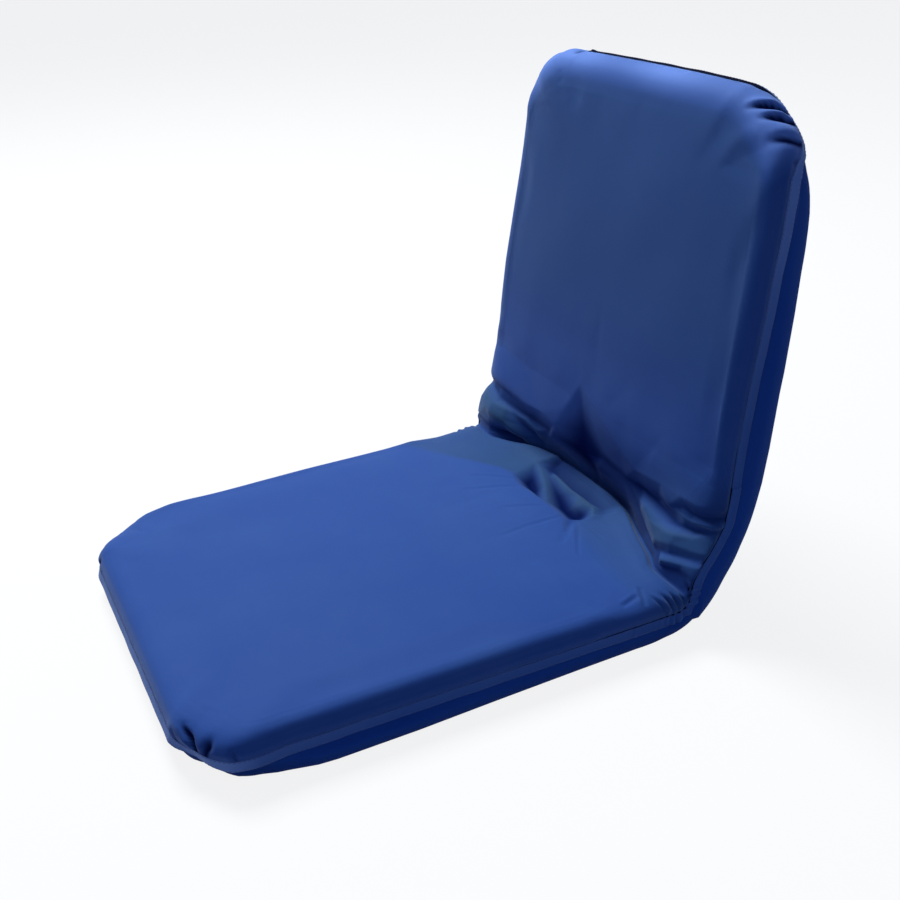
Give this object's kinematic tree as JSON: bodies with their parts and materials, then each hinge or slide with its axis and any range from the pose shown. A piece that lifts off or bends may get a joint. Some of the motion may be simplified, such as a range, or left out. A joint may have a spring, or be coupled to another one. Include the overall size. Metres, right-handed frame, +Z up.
{
  "type": "folding floor chair",
  "caption": "Legless padded floor chair: fabric-covered seat and back on hidden steel tube frames, folding on ratchet hinges in the crease.",
  "frame": {"origin": "on the floor under the middle of the seat, between the hinge axis and the front seam", "axes": "+X to the sitter's left, +Y from the seat's front towards the back, +Z up"},
  "size_m": [0.4114, 0.5902, 0.4865],
  "materials": {
    "cover_face": "woven polyester, faint sheen",
    "cover_rear_cloth": "woven polyester, matt",
    "seam_tape": "folded woven tape",
    "foam": "open-cell polyurethane foam",
    "frame_steel": "black powder coat",
    "webbing": "woven elastic webbing",
    "zip_tape": "woven zip tape",
    "zip_coil": "moulded nylon coil",
    "nylon": "natural nylon",
    "spring_steel": "blued spring steel",
    "zinc_plate": "zinc plated pressed steel"
  },
  "bodies": {
    "seat": {"seat_frame_tube": "frame_steel", "seat_cross_tube": "frame_steel", "seat_webbing": "webbing", "seat_foam_upper": "foam", "seat_foam_lower": "foam", "seat_cover_top": "cover_face", "seat_cover_base": "cover_rear_cloth", "seat_seam_tape": "seam_tape", "left_ratchet_arm": "zinc_plate", "left_seat_rivets": "zinc_plate", "right_ratchet_arm": "zinc_plate", "right_seat_rivets": "zinc_plate", "hinge_wrap_panel": "cover_rear_cloth"},
    "back": {"back_frame_tube": "frame_steel", "back_cross_tube": "frame_steel", "back_webbing": "webbing", "back_foam_front": "foam", "back_foam_rear": "foam", "back_cover_front": "cover_face", "back_cover_rear": "cover_rear_cloth", "back_seam_tape": "seam_tape", "crease_panel": "cover_face", "zip_tapes": "zip_tape", "zip_coil": "zip_coil", "left_inner_cheek": "zinc_plate", "left_outer_cheek": "zinc_plate", "left_back_rivets": "zinc_plate", "left_pivot_pin": "zinc_plate", "left_pivot_spacers": "nylon", "left_pawl_pin": "zinc_plate", "left_pawl_spring": "spring_steel", "right_inner_cheek": "zinc_plate", "right_outer_cheek": "zinc_plate", "right_back_rivets": "zinc_plate", "right_pivot_pin": "zinc_plate", "right_pivot_spacers": "nylon", "right_pawl_pin": "zinc_plate", "right_pawl_spring": "spring_steel"},
    "left_pawl": {"left_pawl": "zinc_plate"},
    "right_pawl": {"right_pawl": "zinc_plate"},
    "zip_slider": {"zip_slider": "zinc_plate"}
  },
  "joints": [
    {"name": "back_fold", "type": "hinge", "parent": "seat", "child": "back", "pos_m": [0, 0.2435, 0.055], "axis": [1, 0, 0], "range_deg": [-83.5, 88], "deforming": ["crease_panel", "hinge_wrap_panel"]},
    {"name": "left_pawl_pivot", "type": "hinge", "parent": "back", "child": "left_pawl", "pos_m": [0.17, 0.25261, 0.07308], "axis": [1, 0, 0], "range_deg": [-9, 0], "deforming": ["left_pawl_spring"]},
    {"name": "right_pawl_pivot", "type": "hinge", "parent": "back", "child": "right_pawl", "pos_m": [-0.17, 0.25261, 0.07308], "axis": [1, 0, 0], "range_deg": [-9, 0], "deforming": ["right_pawl_spring"]},
    {"name": "zip_slide", "type": "slide", "parent": "back", "child": "zip_slider", "axis": [-1, 0, 0], "range_m": [0, 0.283]}
  ]
}
